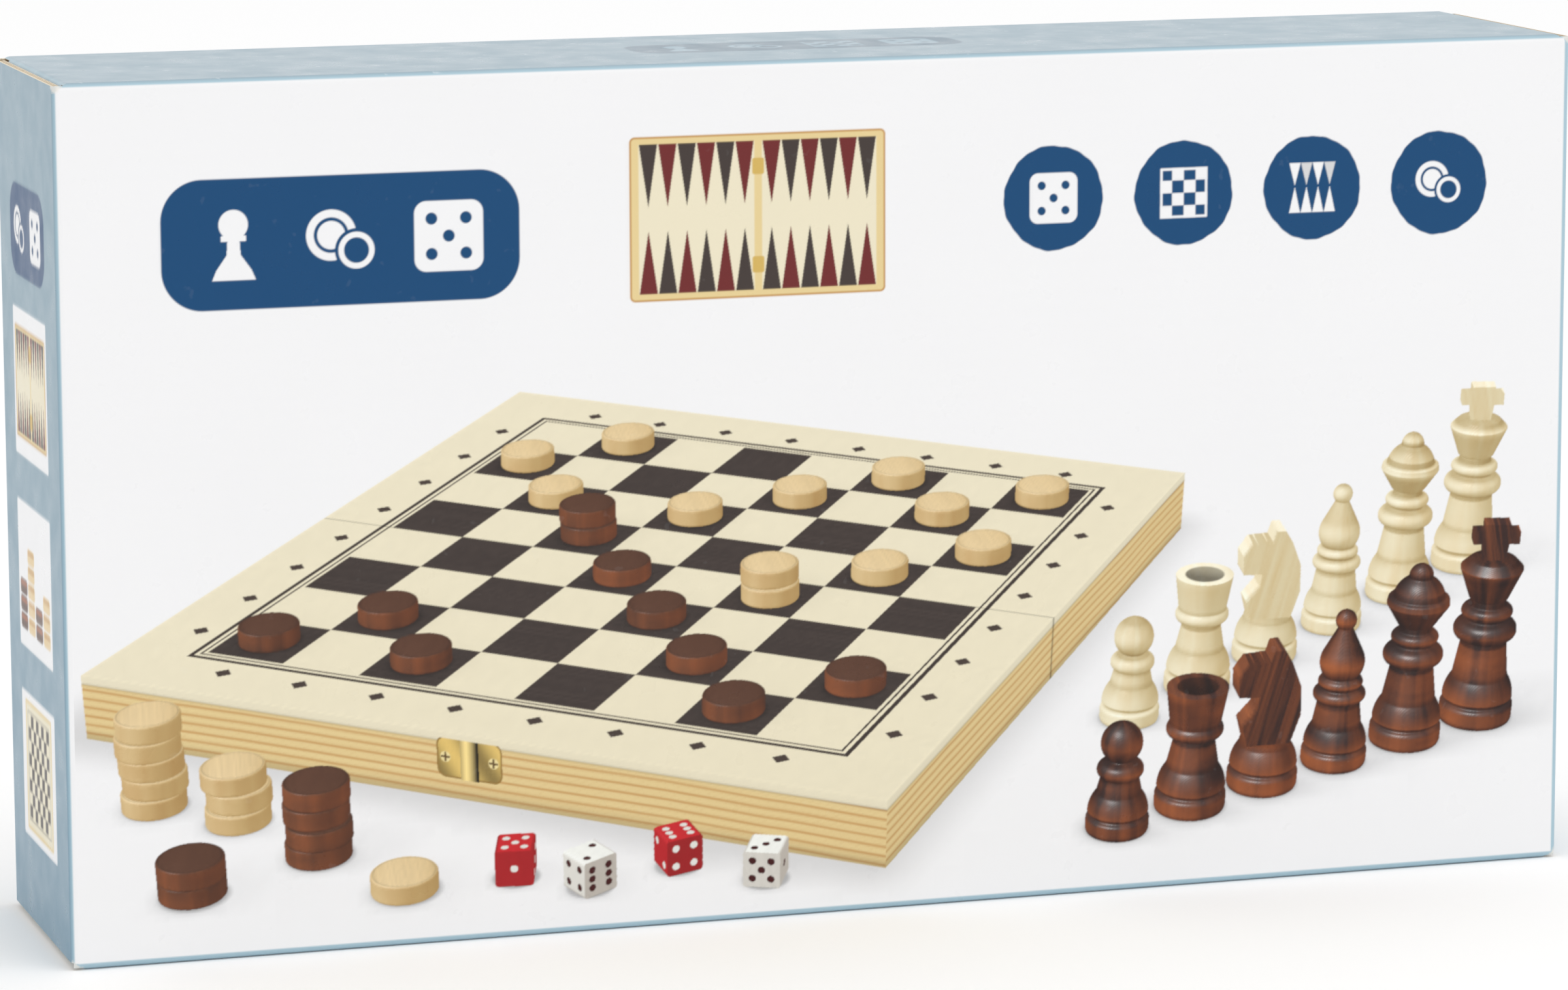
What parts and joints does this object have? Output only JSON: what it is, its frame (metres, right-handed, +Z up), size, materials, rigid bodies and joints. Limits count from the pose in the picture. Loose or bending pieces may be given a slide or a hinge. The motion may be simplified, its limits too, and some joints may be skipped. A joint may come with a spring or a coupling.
{
  "type": "games compendium box",
  "caption": "Upright tuck-end carton of fine-flute board with white front and pale blue ends, holding a folding pine games case with chessmen, draughts and dice.",
  "frame": {"origin": "middle of the long narrow face the carton stands on", "axes": "+X along the carton's width, to the right seen from the front; -Y out of the printed front; +Z up"},
  "size_m": [0.31, 0.06, 0.17],
  "materials": {
    "white_board": "gloss-coated white print",
    "blue_board": "gloss-coated pale grey-blue print",
    "kraft_board": "uncoated kraft liner",
    "leaflet_paper": "uncoated printed paper",
    "board_ply": "varnished ply with a stained pattern",
    "pine": "clear-varnished pine",
    "brass": "bright brass plate",
    "light_wood": "clear-varnished, turned",
    "dark_wood": "stained and varnished, turned",
    "red_die": "polished",
    "white_die": "polished"
  },
  "bodies": {
    "carton_and_games": {"front_panel": "white_board", "top_panel": "blue_board", "back_panel": "white_board", "bottom_panel": "blue_board", "glue_flap": "kraft_board", "rules_leaflet": "leaflet_paper", "front_board": "board_ply", "front_spine_rail": "pine", "front_clasp_rail": "pine", "front_end_rails": "pine", "back_board": "board_ply", "back_spine_rail": "pine", "back_clasp_rail": "pine", "back_end_rails": "pine", "hinge_front_leaves": "brass", "hinge_back_leaves": "brass", "hinge_pins": "brass", "hinge_screws": "brass", "clasp_base": "brass", "clasp_hasp": "brass", "clasp_pin": "brass", "clasp_catch": "brass", "clasp_screws": "brass", "light_king": "light_wood", "light_queen": "light_wood", "light_bishops": "light_wood", "light_knights": "light_wood", "light_rooks": "light_wood", "light_pawns": "light_wood", "dark_king": "dark_wood", "dark_queen": "dark_wood", "dark_bishops": "dark_wood", "dark_knights": "dark_wood", "dark_rooks": "dark_wood", "dark_pawns": "dark_wood", "light_draughts": "light_wood", "dark_draughts": "dark_wood", "red_dice": "red_die", "white_dice": "white_die", "doubling_cube": "white_die"},
    "left_closure": {"left_closure": "blue_board", "left_tongue": "blue_board"},
    "left_top_dust_flap": {"left_top_dust_flap": "blue_board"},
    "left_bottom_dust_flap": {"left_bottom_dust_flap": "blue_board"},
    "right_closure": {"right_closure": "blue_board", "right_tongue": "blue_board"},
    "right_top_dust_flap": {"right_top_dust_flap": "blue_board"},
    "right_bottom_dust_flap": {"right_bottom_dust_flap": "blue_board"}
  },
  "joints": [
    {"name": "left_closure_fold", "type": "hinge", "parent": "carton_and_games", "child": "left_closure", "pos_m": [-0.15456, -0.02956, 0.085], "axis": [0, 0, 1], "range_deg": [0, 170]},
    {"name": "left_top_dust_fold", "type": "hinge", "parent": "carton_and_games", "child": "left_top_dust_flap", "pos_m": [-0.15276, 0, 0.16956], "axis": [0, 1, 0], "range_deg": [0, 85]},
    {"name": "left_bottom_dust_fold", "type": "hinge", "parent": "carton_and_games", "child": "left_bottom_dust_flap", "pos_m": [-0.15276, 0, 0.00044], "axis": [0, -1, 0], "range_deg": [0, 85]},
    {"name": "right_closure_fold", "type": "hinge", "parent": "carton_and_games", "child": "right_closure", "pos_m": [0.15456, -0.02956, 0.085], "axis": [0, 0, -1], "range_deg": [0, 170]},
    {"name": "right_top_dust_fold", "type": "hinge", "parent": "carton_and_games", "child": "right_top_dust_flap", "pos_m": [0.15276, 0, 0.16956], "axis": [0, -1, 0], "range_deg": [0, 85]},
    {"name": "right_bottom_dust_fold", "type": "hinge", "parent": "carton_and_games", "child": "right_bottom_dust_flap", "pos_m": [0.15276, 0, 0.00044], "axis": [0, 1, 0], "range_deg": [0, 85]}
  ],
  "couplings": [
    {"joint": "left_top_dust_fold", "follows": "left_closure_fold", "ratio": 0.5},
    {"joint": "left_bottom_dust_fold", "follows": "left_closure_fold", "ratio": 0.5},
    {"joint": "right_top_dust_fold", "follows": "right_closure_fold", "ratio": 0.5},
    {"joint": "right_bottom_dust_fold", "follows": "right_closure_fold", "ratio": 0.5}
  ]
}
